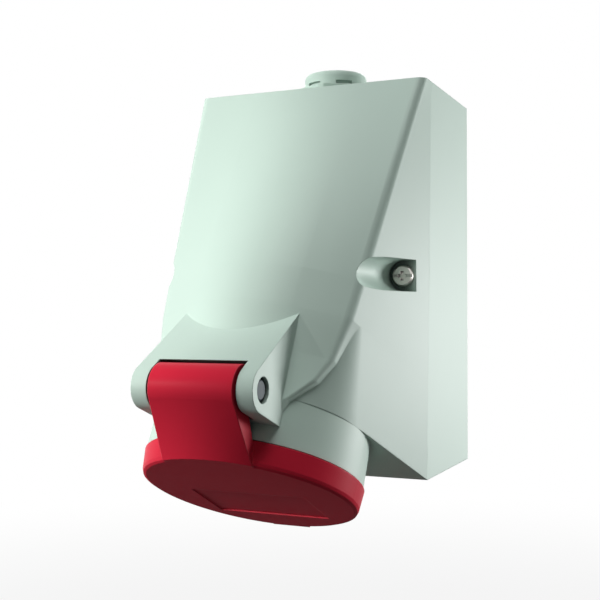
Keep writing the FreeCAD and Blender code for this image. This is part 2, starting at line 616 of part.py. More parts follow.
for i in range(4):
    x = "ring_screw_pitch * cos(%d)" % (45 + 90 * i)
    y = "ring_screw_pitch * sin(%d)" % (45 + 90 * i)
    ring_ways.append(rod("ring_way_%d" % i, "ring_screw_radius + guide_play", "20", x, y, "tube_start"))
    shank = turned("ring_screw_%d" % i, [
        ("0", "tube_start + 1.8"), ("ring_screw_radius", "tube_start + 1.8"),
        ("ring_screw_radius", RING_TOP),
        ("ring_head_radius", RING_TOP), ("ring_head_radius", RING_TOP + " + ring_head"),
        ("0", RING_TOP + " + ring_head")])
    slot = block("ring_slot_%d" % i, ("-4", "4"), ("-0.4", "0.4"),
                 (RING_TOP + " + ring_head - 0.9", RING_TOP + " + ring_head + 1"))
    screw = cut("ring_screw_cut_%d" % i, shank, [slot])
    place(screw, x, y, "0")
    ring_screws.append(screw)
key_way = block("key_way", ("-key_width / 2", "key_width / 2"),
    ("sleeve_inner - 2", "sleeve_inner + key_depth"),
                ("sleeve_start - 1", "carrier_floor - 6"))
plug_guide = cut("plug_guide", guide_body, [key_way])
clamp_ring = cut("clamp_ring", ring_body, ring_ways)
contact_carrier = cut("contact_carrier", carrier_body, carrier_cuts)
terminal_body = turned("terminal_body", [
    ("0", GUIDE_END), ("block_radius", GUIDE_END),
    ("block_radius", BLOCK_END), ("0", BLOCK_END)])
terminal_block = cut("terminal_block", terminal_body, block_cuts)
terminal_screws = group("terminal_screws", clamp_screws)
carrier_screws = group("carrier_screws", ring_screws)

# Lid with its strap and hinge barrel
lid_plate = turned("lid_disc", [
    ("0", "0"), ("lid_radius - lid_edge", "0"), ("lid_radius - lid_edge * 0.3", "lid_edge * 0.3"),
    ("lid_radius", "lid_edge"), ("lid_rim_radius", "lid_rim"), ("0", "lid_rim")])
tab = block("tab", ("-8.8", "8.8"), ("lid_radius - 4", "lid_rim_radius + 0.9"), ("0.8", "4.5"))
barrel = cross_rod("barrel", "barrel_radius", "barrel_half", "-" + HINGE_OUT, HINGE_UP)


def strap_section(name, level, half, back, front, bow):
    """Draws one cross-section of the lid's strap, its front straight or bowed."""
    drawing = doc.addObject("Sketcher::SketchObject", name)
    drawing.Placement = Placement(Vector(0, 0, level), Rotation())
    corners = [Vector(half, -back, 0), Vector(-half, -back, 0), Vector(-half, -front, 0),
        Vector(half, -front, 0)]
    drawing.addGeometry(Part.LineSegment(corners[0], corners[1]), False)
    drawing.addGeometry(Part.LineSegment(corners[1], corners[2]), False)
    drawing.addGeometry(Part.Arc(corners[2], Vector(0, -front - bow, 0), corners[3]), False)
    drawing.addGeometry(Part.LineSegment(corners[3], corners[0]), False)
    return drawing


hinge_out, hinge_up, barrel_r = number(HINGE_OUT), number(HINGE_UP), number("barrel_radius")
foot_r, foot_half = number("lid_radius"), number("strap_foot_half")
foot_front = math.sqrt(foot_r * foot_r - foot_half * foot_half)
foot_gap = math.hypot(hinge_out - foot_r, hinge_up)
rise = math.atan2(hinge_up, hinge_out - foot_r) - math.asin(barrel_r / foot_gap)
touch = Vector(hinge_out + barrel_r * math.sin(rise), hinge_up - barrel_r * math.cos(rise), 0)
strap = skin("strap", [
    strap_section("strap_top", touch.y, number("barrel_half"), hinge_out - barrel_r + 1, touch.x - 0.01,
        0.01),
    strap_section("strap_foot", 0.0, foot_half, 36.0, foot_front, foot_r - foot_front)])
lid_cavity = turned("lid_cavity", [
    ("0", "lid_plate"), ("lid_bore", "lid_plate"), ("lid_bore", "lid_rim + 0.01"), ("0", "lid_rim + 0.01")])
strap_back = turned("strap_back", [
    ("0", "lid_rim"), ("tube_radius + strap_clear", "lid_rim"), ("tube_radius + strap_clear", "60"),
    ("0", "60")])
pin_bore = cross_rod("pin_bore", "pin_radius + thread_play", "barrel_half + 2", "-" + HINGE_OUT, HINGE_UP)
spring_room = cross_rod("spring_room", "barrel_radius - 2.6", "barrel_half - knuckle", "-" + HINGE_OUT,
    HINGE_UP)
plate_in = 3.0
low_v = foot_r + (number("lid_rim") + 0.6 - plate_in * math.cos(rise)) / math.tan(rise)
low_v -= plate_in * math.sin(rise)
strap_hollow = prism("strap_hollow", "YZ", [
    (str(-low_v), "lid_rim + 0.6"),
    (str(-(hinge_out + (barrel_r - plate_in) * math.sin(rise))),
        str(hinge_up - (barrel_r - plate_in) * math.cos(rise))),
    (str(-hinge_out), str(hinge_up + 5.9)), ("-40", str(hinge_up + 5.9)), ("-40", "lid_rim + 0.6")],
    "-barrel_half + knuckle", "barrel_half - knuckle")
field = block("field", ("-25.5", "25.5"), ("-3.6", "26.2"), ("-1", "field_depth"))
lid = cut("lid", fuse("lid_whole", [lid_plate, tab, barrel, strap]),
          [lid_cavity, strap_back, pin_bore, spring_room, strap_hollow, field])
lid_seal = turned("lid_seal", [
    ("lid_seal_inner", "lid_plate"), ("lid_seal_outer", "lid_plate"),
    ("lid_seal_outer", "spigot_end - 0.3"),
    ("lid_seal_inner", "spigot_end - 0.3")])

# Hinge pin
pin_body = turned("pin_body", [
    ("0", "-pin_half"), ("pin_head_radius - 0.8", "-pin_half"), ("pin_head_radius", "-pin_half + 0.8"),
    ("pin_head_radius", "-pin_half + pin_head"), ("pin_radius", "-pin_half + pin_head"),
    ("pin_radius", "pin_half - pin_head"), ("pin_head_radius", "pin_half - pin_head"),
    ("pin_head_radius", "pin_half - 0.8"), ("pin_head_radius - 0.8", "pin_half"), ("0", "pin_half")])
hinge_pin = group("hinge_pin", [pin_body])
place(pin_body, "0", HINGE_Y, "hinge_height", Vector(0, 1, 0), "90")


def spring_shape():
    """Winds the lid's spring: a coil about the pin with one leg on the strap and one toward the collar."""
    wire, radius = number("spring_wire"), number("spring_radius")
    length = number("spring_pitch") * number("spring_turns")
    first = rise - math.pi / 2
    sweep = 2 * math.pi * (number("spring_turns") - 1) + math.pi - rise
    steps = round(number("spring_turns") * 11)
    spots = []
    for i in range(steps + 1):
        angle = first + sweep * i / steps
        spots.append(Vector(length * (i / steps - 0.5), -(hinge_out + radius * math.cos(angle)),
                            hinge_up + radius * math.sin(angle)))
    outward = [Vector(0, -(spot.y + hinge_out), -(spot.z - hinge_up)).normalize() for spot in spots]
    spots = [spots[0] + Vector(0, math.cos(rise), -math.sin(rise)) * number("spring_leg"), *spots,
             spots[-1] + Vector(0, 1, 0) * number("spring_leg")]
    outward = [outward[0], *outward, outward[-1]]
    rings = []
    for i, (spot, side) in enumerate(zip(spots, outward)):
        along = (spots[min(i + 1, len(spots) - 1)] - spots[max(i - 1, 0)]).normalize()
        across = along.cross(side).normalize()
        side = across.cross(along)
        turns = [2 * math.pi * k / 8 for k in range(9)]
        rings.append(Part.makePolygon([
            spot + side * wire * math.cos(t) + across * wire * math.sin(t) for t in turns]))
    coil = Part.makeLoft(rings, True, True)
    if coil.Volume < 0:
        coil.reverse()
    return coil


lid_spring = doc.addObject("Part::Feature", "lid_spring")
lid_spring.Shape = spring_shape()

# Cable gland in the box's top
def hexagon(across):
    """Gives the size rules for a hexagon's corners."""
    reach = "(%s) / sqrt(3)" % across
    return [("%s * cos(%d)" % (reach, a), "%s * sin(%d)" % (reach, a)) for a in range(30, 390, 60)]


TOP = "height"
gland_gasket = turned("gland_gasket", [
    ("thread_radius + 0.3", TOP), ("hex_across / 2 - 0.5", TOP),
    ("hex_across / 2 - 0.5", TOP + " + gasket_thick"),
    ("thread_radius + 0.3", TOP + " + gasket_thick")])
BODY_LOW = TOP + " + gasket_thick"
BODY_HIGH = "(%s + hex_height)" % BODY_LOW
gland_hex = common("gland_hex", [prism("gland_six", "XY", hexagon("hex_across"), BODY_LOW, BODY_HIGH),
                                 rod("gland_round", "hex_corner", "hex_height", "0", "0", BODY_LOW)])
gland_neck = turned("gland_neck", [
    ("0", TOP + " - neck_length"), ("thread_radius", TOP + " - neck_length"),
    ("thread_radius", BODY_LOW + " + 1"),
    ("gland_top_neck", BODY_LOW + " + 1"),
    ("gland_top_neck", BODY_HIGH + " + nut_height - nut_wall_top - 0.8"),
    ("0", BODY_HIGH + " + nut_height - nut_wall_top - 0.8")])
gland_bore = turned("gland_bore", [
    ("0", TOP + " - 30"), ("neck_bore - 1.6", TOP + " - 30"), ("neck_bore - 1.6", BODY_LOW),
    ("neck_bore", BODY_LOW), ("neck_bore", TOP + " + 60"), ("0", TOP + " + 60")])
gland_body = cut("gland_body", fuse("gland_whole", [gland_hex, gland_neck]), [gland_bore])
NUT_LOW = BODY_HIGH + " + nut_gap"
NUT_HIGH = BODY_HIGH + " + nut_gap + nut_height"
nut_body = turned("nut_body", [
    ("gland_top_neck + thread_play", NUT_LOW), ("nut_radius", NUT_LOW),
    *[("nut_radius - nut_dome * (1 - cos(%d))" % a,
        NUT_HIGH + " - nut_dome * (1 - sin(%d))" % a) for a in (0, 30, 60, 90)],
    ("nut_bore", NUT_HIGH), ("nut_bore", NUT_HIGH + " - nut_wall_top"),
    ("gland_top_neck + thread_play", NUT_HIGH + " - nut_wall_top")])
nut_notches = []
for i in range(6):
    notch = block("nut_notch_%d" % i, ("gland_top_neck + 1.6", "nut_radius + 3"),
        ("-nut_notch", "nut_notch"),
                  (NUT_LOW + " - 1", NUT_LOW + " + nut_notch_high"))
    nut_notches.append(turned_round("nut_notch_spun_%d" % i, notch, str(60 * i + 7)))
gland_nut = cut("gland_nut", nut_body, nut_notches)
gland_seal = turned("gland_seal", [
    ("cable_radius", BODY_LOW + " + 0.01"), ("neck_bore - thread_play", BODY_LOW + " + 0.01"),
    ("neck_bore - thread_play", NUT_HIGH + " - nut_wall_top - 0.1"),
    ("cable_radius", NUT_HIGH + " - nut_wall_top - 0.1")])
locknut_hex = prism("locknut_hex", "XY", hexagon("locknut_across"), TOP + " - rim_wall - locknut_thick",
    TOP + " - rim_wall")
gland_locknut = cut("gland_locknut", locknut_hex,
                    [rod("locknut_way", "thread_radius + thread_play", "40", "0", "0", TOP + " - 35")])

PIECES = {
    "rear_housing": (rear_housing, at_box), "front_cover": (front_cover, at_box),
    "housing_seal": (housing_seal, None),
    "cover_screws": (cover_screws, at_box), "screw_inserts": (screw_inserts, at_box),
    "plug_guide": (plug_guide, at_collar), "clamp_ring": (clamp_ring, at_collar),
    "contact_carrier": (contact_carrier, at_collar),
    "terminal_block": (terminal_block, at_collar),
    "terminal_screws": (terminal_screws, at_collar), "carrier_screws": (carrier_screws, at_collar),
    "lid": (lid, at_collar), "lid_seal": (lid_seal, at_collar), "lid_spring": (lid_spring, at_collar),
    "hinge_pin": (hinge_pin, at_box), "gland_body": (gland_body, None), "gland_nut": (gland_nut, None),
    "gland_seal": (gland_seal, None), "gland_gasket": (gland_gasket, None),
    "gland_locknut": (gland_locknut, None),
}
for name, piece in contacts.items():
    PIECES[name] = (piece, at_collar)
for name, (piece, put) in PIECES.items():
    piece.Label = name
    if put is not None:
        put(piece)
place(housing_seal, "0", "-depth_low", "-height / 2", Vector(-1, 0, 0), LEAN)
for piece in (gland_body, gland_nut, gland_seal, gland_gasket, gland_locknut):
    place(piece, "0", "-gland_forward", "-height / 2")

doc.recompute()
os.makedirs("parts", exist_ok=True)
for name, (piece, put) in PIECES.items():
    if "Invalid" in piece.State or "Error" in piece.State:
        raise RuntimeError(name + " did not build")
    if piece.Shape.isNull() or not piece.Shape.isValid():
        raise RuntimeError(name + " has no sound shape")
    piece.Shape.exportStep(os.path.join("parts", name + ".step"))
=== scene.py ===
import logging
import math
from dataclasses import dataclass, field
from enum import Enum

import bpy
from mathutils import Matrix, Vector

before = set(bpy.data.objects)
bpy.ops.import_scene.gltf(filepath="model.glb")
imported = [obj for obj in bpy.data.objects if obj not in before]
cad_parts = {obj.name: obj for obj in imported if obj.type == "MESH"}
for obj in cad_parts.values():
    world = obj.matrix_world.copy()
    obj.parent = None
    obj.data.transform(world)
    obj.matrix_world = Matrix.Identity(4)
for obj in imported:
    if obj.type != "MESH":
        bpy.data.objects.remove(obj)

LOG = logging.getLogger("wall_socket")
MM = 0.001
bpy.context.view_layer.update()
Colour = tuple[float, float, float]
Point = tuple[float, float, float]
Feed = float | tuple[float, ...] | bpy.types.NodeSocket


class Kind(Enum):
    """The families of finish. They share one build of shader nodes, and only METAL is metallic."""

    MOULDED = "moulded plastic"
    METAL = "turned or plated metal"
    OXIDE = "steel with a dark oxide skin"
    RUBBER = "rubber"


class LampShape(Enum):
    """The two shapes of lamp in the studio."""

    PANEL = "AREA"
    POOL = "SPOT"


class Measure(Enum):
    """What a socket of a shader node group carries."""

    NUMBER = "NodeSocketFloat"
    VECTOR = "NodeSocketVector"


class Slope(Enum):
    """How a ramp climbs from its start to its end."""

    STRAIGHT = "LINEAR"
    SOFT = "SMOOTHSTEP"


@dataclass(frozen=True)
class Finish:
    """One finish of the socket: its colour, its gloss and the size of its surface detail.

    Attributes:
        name: The material's name.
        kind: The family that it belongs to.
        colour: Its base colour, in linear values.
        roughness: The middle of its roughness.
        grain_mm: The size of its fine grain.
        grain_depth_mm: The grain's depth.
        mottle: How far the colour wanders to each side, as a share of it.
        edge_mm: The radius of its softened edges.
        edge_shift: How much paler the edges are, as a share of the way to white: a painted
            highlight.
        specular: The level of its plain reflection.
        gloss_shift: How far the roughness wanders to each side.
        crevice: How dark the painted shade in corners and recesses gets, from 0 to 1.
        crevice_mm: How far the painted shade of a corner reaches.
    """

    name: str
    kind: Kind
    colour: Colour
    roughness: float
    grain_mm: float = 0.5
    grain_depth_mm: float = 0.008
    mottle: float = 0.03
    edge_mm: float = 0.5
    edge_shift: float = 0.08
    specular: float = 0.5
    gloss_shift: float = 0.05
    crevice: float = 0.35
    crevice_mm: float = 5.0


# Each finish's crevice sets how dark the painted shade in its corners and recesses gets.
HOUSING = Finish(
    "housing_plastic", Kind.MOULDED, (0.56, 0.71, 0.63), 0.50,
    grain_mm=0.6, grain_depth_mm=0.0025, mottle=0.015, specular=0.25, gloss_shift=0.008,
    crevice=0.85, crevice_mm=9.0)
GLAND = Finish(
    "gland_plastic", Kind.MOULDED, (0.56, 0.71, 0.63), 0.46,
    grain_depth_mm=0.0025, mottle=0.015, specular=0.3, gloss_shift=0.01)
LID_RED = Finish(
    "lid_plastic", Kind.MOULDED, (0.66, 0.022, 0.050), 0.38,
    grain_mm=0.4, grain_depth_mm=0.005, mottle=0.015, specular=0.05, gloss_shift=0.02, crevice=0.4)
CARRIER = Finish(
    "carrier_plastic", Kind.MOULDED, (0.26, 0.28, 0.29), 0.45,
    grain_mm=0.35, grain_depth_mm=0.006)
ZINC = Finish(
    "zinc_steel", Kind.METAL, (0.60, 0.58, 0.54), 0.34,
    grain_mm=0.25, grain_depth_mm=0.004, mottle=0.10, edge_mm=0.2, crevice=0.92, crevice_mm=1.6)
PIN_STEEL = Finish(
    "pin_steel", Kind.OXIDE, (0.075, 0.100, 0.112), 0.52,
    grain_mm=0.25, grain_depth_mm=0.004, mottle=0.08, edge_mm=0.3, specular=0.10,
    crevice=0.7, crevice_mm=2.0)
SPRING_WIRE = Finish(
    "spring_wire", Kind.METAL, (0.42, 0.42, 0.43), 0.34,
    grain_mm=0.2, grain_depth_mm=0.003)
BRASS = Finish(
    "brass", Kind.METAL, (0.72, 0.50, 0.20), 0.30,
    grain_mm=0.25, grain_depth_mm=0.003, mottle=0.08)
NICKEL = Finish(
    "nickel_plate", Kind.METAL, (0.66, 0.62, 0.54), 0.22,
    grain_mm=0.3, grain_depth_mm=0.002, mottle=0.06)
RUBBER = Finish(
    "black_rubber", Kind.RUBBER, (0.018, 0.018, 0.020), 0.62,
    grain_mm=0.3, grain_depth_mm=0.01)


@dataclass(frozen=True)
class ShaderTree:
    """A shader tree that is being built, with short ways to place and join its nodes."""

    tree: bpy.types.NodeTree

    def feed(self, node: bpy.types.Node, inputs: dict[str | int, Feed]) -> None:
        """Sets or joins a node's inputs.

        Args:
            node: The node that takes them.
            inputs: For each input's name or number, its value or the socket that is joined to it.
        """
        for key, value in inputs.items():
            if isinstance(value, bpy.types.NodeSocket):
                self.tree.links.new(value, node.inputs[key])
            else:
                node.inputs[key].default_value = value

    def add(self, kind: str, inputs: dict[str | int, Feed] | None = None,
            **settings: object) -> bpy.types.Node:
        """Places a node.

        Args:
            kind: The node's type in Blender.
            inputs: For each input's name or number, its value or the socket that is joined to it.
            settings: The node's own settings by name, which are made before its inputs are fed.

        Returns:
            The new node.
        """
        node = self.tree.nodes.new(kind)
        for name, value in settings.items():
            setattr(node, name, value)
        self.feed(node, inputs or {})
        return node

    def place(self, group: bpy.types.NodeTree, inputs: dict[str | int, Feed]) -> bpy.types.Node:
        """Places a shared node group with values of its own."""
        return self.add("ShaderNodeGroup", inputs, node_tree=group)

    def multiply(self, first: Feed, second: Feed) -> bpy.types.NodeSocket:
        """Gives the product of two values."""
        return self.add("ShaderNodeMath", {0: first, 1: second}, operation="MULTIPLY").outputs[0]

    def highest(self, first: Feed, *others: Feed) -> Feed:
        """Picks the highest of some values.

        Args:
            first: The first value.
            others: The values that it is compared with, one after the other.

        Returns:
            The socket that carries the highest of them.
        """
        result = first
        for other in others:
            node = self.add("ShaderNodeMath", {0: result, 1: other}, operation="MAXIMUM")
            result = node.outputs[0]
        return result

    def ramp(self, value: Feed, start: float, end: float, low: float = 0.0, high: float = 1.0,
             slope: Slope = Slope.STRAIGHT) -> bpy.types.NodeSocket:
        """Turns a range of a value into another range.

        Args:
            value: The value that is read.
            start: The value that becomes low.
            end: The value that becomes high.
            low: The lowest result.
            high: The highest result.
            slope: How the result climbs between them.

        Returns:
            The socket that carries the result.
        """
        node = self.add("ShaderNodeMapRange", {
            "Value": value, "From Min": start, "From Max": end, "To Min": low, "To Max": high,
        }, interpolation_type=slope.value)
        return node.outputs["Result"]

    def mix_colours(self, share: Feed, first: Feed, second: Feed) -> bpy.types.NodeSocket:
        """Mixes two colours.

        Args:
            share: The second colour's share, from 0 to 1.
            first: The colour at share 0.
            second: The colour at share 1.

        Returns:
            The socket that carries the mixed colour.
        """
        node = self.add("ShaderNodeMix", {"Factor": share, "A": first, "B": second},
                        data_type="RGBA")
        return node.outputs["Result"]

    def mix_shaders(self, share: Feed, first: Feed, second: Feed) -> bpy.types.NodeSocket:
        """Mixes two shaders.

        Args:
            share: The second shader's share, from 0 to 1.
            first: The shader at share 0.
            second: The shader at share 1.

        Returns:
            The socket that carries the mixed shader.
        """
        node = self.add("ShaderNodeMixShader", {"Fac": share, 1: first, 2: second})
        return node.outputs["Shader"]


@dataclass
class ShaderGroups:
    """The shader node groups that the finishes share, each built once.

    The noise scales are per metre. Each mask's start is the reading where it is 0, and its full
    reading is where it is 1.
    """

    grain_detail: float = 3.0
    grain_roughness: float = 0.55
    mottle_scale: float = 38.0
    mottle_detail: float = 4.0
    gloss_scale: float = 160.0
    gloss_detail: float = 2.0
    samples: int = 8
    edge_start: float = 0.98
    edge_full: float = 0.80
    crevice_start: float = 0.66
    crevice_full: float = 0.20

    def __post_init__(self) -> None:
        """Builds the three groups."""
        self.grain = self._build_grain()
        self.edges = self._build_edges()
        self.crevices = self._build_crevices()

    @staticmethod
    def _new(name: str, inputs: dict[str, float], outputs: dict[str, Measure]) -> ShaderTree:
        """Starts a group with named sockets.

        Args:
            name: The group's name.
            inputs: The name and the default of each input, in metres.
            outputs: The name of each output and what it carries.

        Returns:
            The new group's tree, with no node in it yet.
        """
        tree = bpy.data.node_groups.new(name, "ShaderNodeTree")
        for label, default in inputs.items():
            socket = tree.interface.new_socket(
                name=label, in_out="INPUT", socket_type=Measure.NUMBER.value)
            socket.default_value = default
        for label, measure in outputs.items():
            tree.interface.new_socket(name=label, in_out="OUTPUT", socket_type=measure.value)
        return ShaderTree(tree)

    def _build_grain(self) -> bpy.types.NodeTree:
        """Builds the surface grain: a fine height, a slow mottle and slow patches of gloss.

        Returns:
            A group that puts out Height, Mottle and Gloss.
        """
        group = self._new("surface_grain", {"Size": 0.5 * MM}, {
            "Height": Measure.NUMBER, "Mottle": Measure.NUMBER, "Gloss": Measure.NUMBER})
        start = group.add("NodeGroupInput")
        place = group.add("ShaderNodeTexCoord").outputs["Object"]
        scale = group.add("ShaderNodeMath", {0: 1.0, 1: start.outputs["Size"]}, operation="DIVIDE")
        fine = group.add("ShaderNodeTexNoise", {
            "Vector": place, "Scale": scale.outputs[0], "Detail": self.grain_detail,
            "Roughness": self.grain_roughness})
        slow = group.add("ShaderNodeTexNoise", {
            "Vector": place, "Scale": self.mottle_scale, "Detail": self.mottle_detail})
        patches = group.add("ShaderNodeTexNoise", {
            "Vector": place, "Scale": self.gloss_scale, "Detail": self.gloss_detail})
        group.add("NodeGroupOutput", {
            "Height": fine.outputs["Fac"], "Mottle": slow.outputs["Fac"],
            "Gloss": patches.outputs["Fac"]})
        return group.tree

    def _build_edges(self) -> bpy.types.NodeTree:
        """Builds the softened edges: a rounded normal and a mask that is 1 along the edges, where
        the colour takes a painted highlight.

        Returns:
            A group that puts out Normal and Edge.
        """
        group = self._new("soft_edges", {"Radius": 0.5 * MM},
                          {"Normal": Measure.VECTOR, "Edge": Measure.NUMBER})
        start = group.add("NodeGroupInput")
        rounded = group.add("ShaderNodeBevel", {"Radius": start.outputs["Radius"]},
                            samples=self.samples).outputs["Normal"]
        flat = group.add("ShaderNodeNewGeometry").outputs["Normal"]
        turn = group.add("ShaderNodeVectorMath", {0: rounded, 1: flat}, operation="DOT_PRODUCT")
        edge = group.ramp(turn.outputs["Value"], self.edge_start, self.edge_full)
        group.add("NodeGroupOutput", {"Normal": rounded, "Edge": edge})
        return group.tree

    def _build_crevices(self) -> bpy.types.NodeTree:
        """Builds the mask of the painted shade that darkens the colour in corners and recesses.

        Returns:
            A group that puts out Depth, which is 1 deep in a corner and 0 in the open.
        """
        group = self._new("crevices", {"Reach": 5.0 * MM}, {"Depth": Measure.NUMBER})
        start = group.add("NodeGroupInput")
        near = group.add("ShaderNodeAmbientOcclusion", {"Distance": start.outputs["Reach"]},
                         samples=self.samples)
        depth = group.ramp(near.outputs["AO"], self.crevice_start, self.crevice_full,
                           slope=Slope.SOFT)
        group.add("NodeGroupOutput", {"Depth": depth})
        return group.tree


@dataclass
class Paintbox:
    """Makes each finish's material once and puts it on pieces."""

    groups: ShaderGroups = field(default_factory=ShaderGroups)
    made: dict[str, bpy.types.Material] = field(default_factory=dict)
    bump_strength: float = 0.5
    # The colour of the painted shade in corners and recesses, as a share of the base colour.
    painted_shade: Colour = (0.12, 0.12, 0.13)

    def material(self, finish: Finish) -> bpy.types.Material:
        """Gives the material of a finish, building it the first time.

        Args:
            finish: The finish wanted.

        Returns:
            The finish's material.
        """
        if finish.name not in self.made:
            self.made[finish.name] = self._build(finish)
        return self.made[finish.name]

    def dress(self, piece: bpy.types.Object, finish: Finish) -> None:
        """Puts a finish on every face of a piece.

        Args:
            piece: The object to dress.
            finish: The finish it takes.
        """
        slots = piece.data.materials
        slots.clear()
        slots.append(self.material(finish))

    def _build(self, finish: Finish) -> bpy.types.Material:
        """Builds a finish's shader.

        Args:
            finish: The finish to build.

        Returns:
            The new material.
        """
        material = bpy.data.materials.new(finish.name)
        material.use_nodes = True
        material.node_tree.nodes.clear()
        tree = ShaderTree(material.node_tree)
        grain = tree.place(self.groups.grain, {"Size": finish.grain_mm * MM})
        edges = tree.place(self.groups.edges, {"Radius": finish.edge_mm * MM})
        crevices = tree.place(self.groups.crevices, {"Reach": finish.crevice_mm * MM})
        gloss = tree.ramp(grain.outputs["Gloss"], 0.0, 1.0,
                          low=finish.roughness - finish.gloss_shift,
                          high=finish.roughness + finish.gloss_shift)
        bump = tree.add("ShaderNodeBump", {
            "Strength": self.bump_strength, "Distance": finish.grain_depth_mm * MM,
            "Height": grain.outputs["Height"], "Normal": edges.outputs["Normal"]})
        shader = tree.add("ShaderNodeBsdfPrincipled", {
            "Base Color": self._colour(finish, tree, grain, edges, crevices),
            "Metallic": 1.0 if finish.kind is Kind.METAL else 0.0,
            "Roughness": gloss,
            "Specular IOR Level": finish.specular,
            "Normal": bump.outputs["Normal"]})
        tree.add("ShaderNodeOutputMaterial", {"Surface": shader.outputs["BSDF"]})
        return material

    def _colour(self, finish: Finish, tree: ShaderTree, grain: bpy.types.Node,
                edges: bpy.types.Node, crevices: bpy.types.Node) -> bpy.types.NodeSocket:
        """Joins the base colour, its mottle, the painted highlight on its paler edges and the
        painted shade in its darker corners.

        Args:
            finish: The finish being built.
            tree: The material's tree.
            grain: The placed grain group.
            edges: The placed edge group.
            crevices: The placed crevice group.

        Returns:
            The socket that carries the colour.
        """
        dim = [part * (1.0 - finish.mottle) for part in finish.colour]
        bright = [min(part * (1.0 + finish.mottle), 1.0) for part in finish.colour]
        # Painted highlight: the edges are paled towards white.
        rim = [part + (1.0 - part) * finish.edge_shift for part in finish.colour]
        # Painted shade: corners and recesses are darkened towards this colour.
        painted_shade = [part * share for part, share in zip(finish.colour, self.painted_shade)]
        mottled = tree.mix_colours(grain.outputs["Mottle"], (*dim, 1.0), (*bright, 1.0))
        edged = tree.mix_colours(edges.outputs["Edge"], mottled, (*rim, 1.0))
        depth = tree.multiply(crevices.outputs["Depth"], finish.crevice)
        return tree.mix_colours(depth, edged, (*painted_shade, 1.0))


@dataclass
class Assembly:
    """A sub-assembly of the socket: the nodes of the frame that it takes and their finishes."""

    paint: Paintbox
    finishes: dict[str, Finish] = field(default_factory=dict)
    smooth_degrees: float = 32.0

    def build(self) -> None:
        """Dresses each of the sub-assembly's nodes and shades it smooth."""
        for name, finish in self.finishes.items():
            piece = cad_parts[name]
            self.paint.dress(piece, finish)
            self.smooth(piece)
            LOG.info("%s wears %s", name, finish.name)

    def smooth(self, piece: bpy.types.Object) -> None:
        """Shades a piece smooth, with its edges kept crisp by angle.

        Args:
            piece: The object to shade.
        """
        mesh = piece.data
        mesh.set_sharp_from_angle(angle=math.radians(self.smooth_degrees))
        for face in mesh.polygons:
            face.use_smooth = True


@dataclass
class Housing(Assembly):
    """The rear box and the moulded front cover, with their seal, screws and inserts."""

    finishes: dict[str, Finish] = field(default_factory=lambda: {
        "rear_housing": HOUSING, "front_cover": HOUSING, "housing_seal": RUBBER,
        "cover_screws": ZINC, "screw_inserts": BRASS})


@dataclass
class Insert(Assembly):
    """The plug guide and its clamp ring, the contact carrier, and the contacts behind it."""

    finishes: dict[str, Finish] = field(default_factory=lambda: {
        "plug_guide": CARRIER, "clamp_ring": CARRIER, "contact_carrier": CARRIER,
        "terminal_block": CARRIER, "terminal_screws": ZINC, "carrier_screws": ZINC,
        "contact_l1": NICKEL, "contact_l2": NICKEL, "contact_l3": NICKEL,
        "contact_n": NICKEL, "contact_pe": NICKEL})


@dataclass
class Lid(Assembly):
    """The red lid with its seal, its spring and the hinge pin."""

    finishes: dict[str, Finish] = field(default_factory=lambda: {
        "lid": LID_RED, "lid_seal": RUBBER, "lid_spring": SPRING_WIRE, "hinge_pin": PIN_STEEL})


@dataclass
class CableGland(Assembly):
    """The cable gland on the box's top, with its gasket, its seal and the nut inside the box."""

    finishes: dict[str, Finish] = field(default_factory=lambda: {
        "gland_body": GLAND, "gland_nut": GLAND, "gland_locknut": GLAND,
        "gland_gasket": RUBBER, "gland_seal": RUBBER})


@dataclass(frozen=True)
class Lamp:
    """One soft lamp of the studio, aimed at a point."""

    name: str
    place: Point
    aim: Point
    size: tuple[float, float]
    power: float
    shape: LampShape = LampShape.PANEL
    cone_degrees: float = 0.0
    cone_blend: float = 0.0
    tint: Colour = (1.0, 1.0, 1.0)


